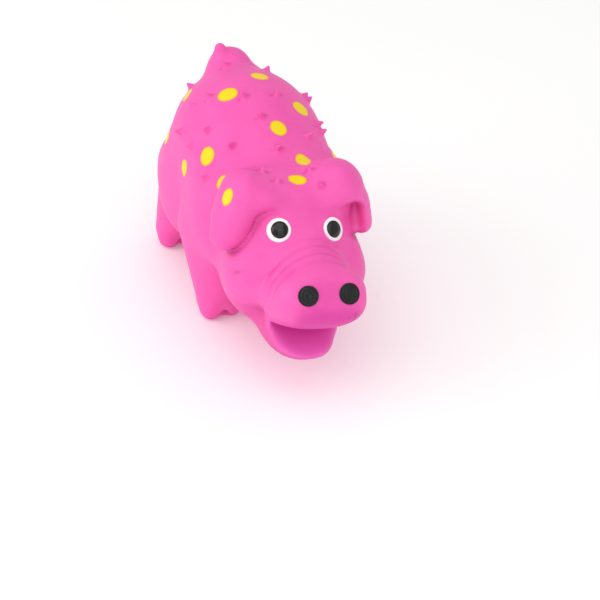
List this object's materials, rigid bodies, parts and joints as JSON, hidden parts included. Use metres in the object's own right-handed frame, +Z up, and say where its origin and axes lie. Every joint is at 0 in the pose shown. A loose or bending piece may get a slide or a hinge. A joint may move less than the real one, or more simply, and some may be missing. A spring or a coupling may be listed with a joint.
{
  "type": "latex dog toy",
  "caption": "Stuffed latex squeaky toy for dogs in the form of a standing pig with spiked back, folded ears, open mouth and curled tail.",
  "frame": {"origin": "under the middle of the toy's bounding box, on the surface that its feet stand on", "axes": "+Z up, the face towards -Y and the tail towards +Y, the toy's own left side towards +X"},
  "size_m": [0.0556, 0.1154, 0.0744],
  "materials": {
    "latex_skin": "matte",
    "latex_patch": "matte",
    "eye_white": "satin",
    "eye_pupil": "gloss",
    "nostril_paint": "matte",
    "fibre_fill": "matte",
    "squeaker_plastic": "satin",
    "reed_film": "gloss"
  },
  "bodies": {
    "toy": {"body_skin": "latex_skin", "head_skin": "latex_skin", "snout": "latex_skin", "lower_jaw": "latex_skin", "ear_left": "latex_skin", "ear_right": "latex_skin", "leg_front_left": "latex_skin", "leg_front_right": "latex_skin", "leg_rear_left": "latex_skin", "leg_rear_right": "latex_skin", "tail": "latex_skin", "belly_patch": "latex_patch", "eye_white_left": "eye_white", "eye_white_right": "eye_white", "pupil_left": "eye_pupil", "pupil_right": "eye_pupil", "nostril_left": "nostril_paint", "nostril_right": "nostril_paint", "stuffing": "fibre_fill", "squeaker_base": "squeaker_plastic", "squeaker_bellows": "squeaker_plastic", "reed_holder": "squeaker_plastic", "reed_clip": "squeaker_plastic", "reed": "reed_film"},
    "squeaker_cap": {"squeaker_cap": "squeaker_plastic"}
  },
  "joints": [
    {"name": "squeeze", "type": "slide", "parent": "toy", "child": "squeaker_cap", "axis": [0, 0, -1], "range_m": [0, 0.008], "stiffness_N_per_m": 400, "deforming": ["squeaker_bellows", "stuffing"]}
  ]
}
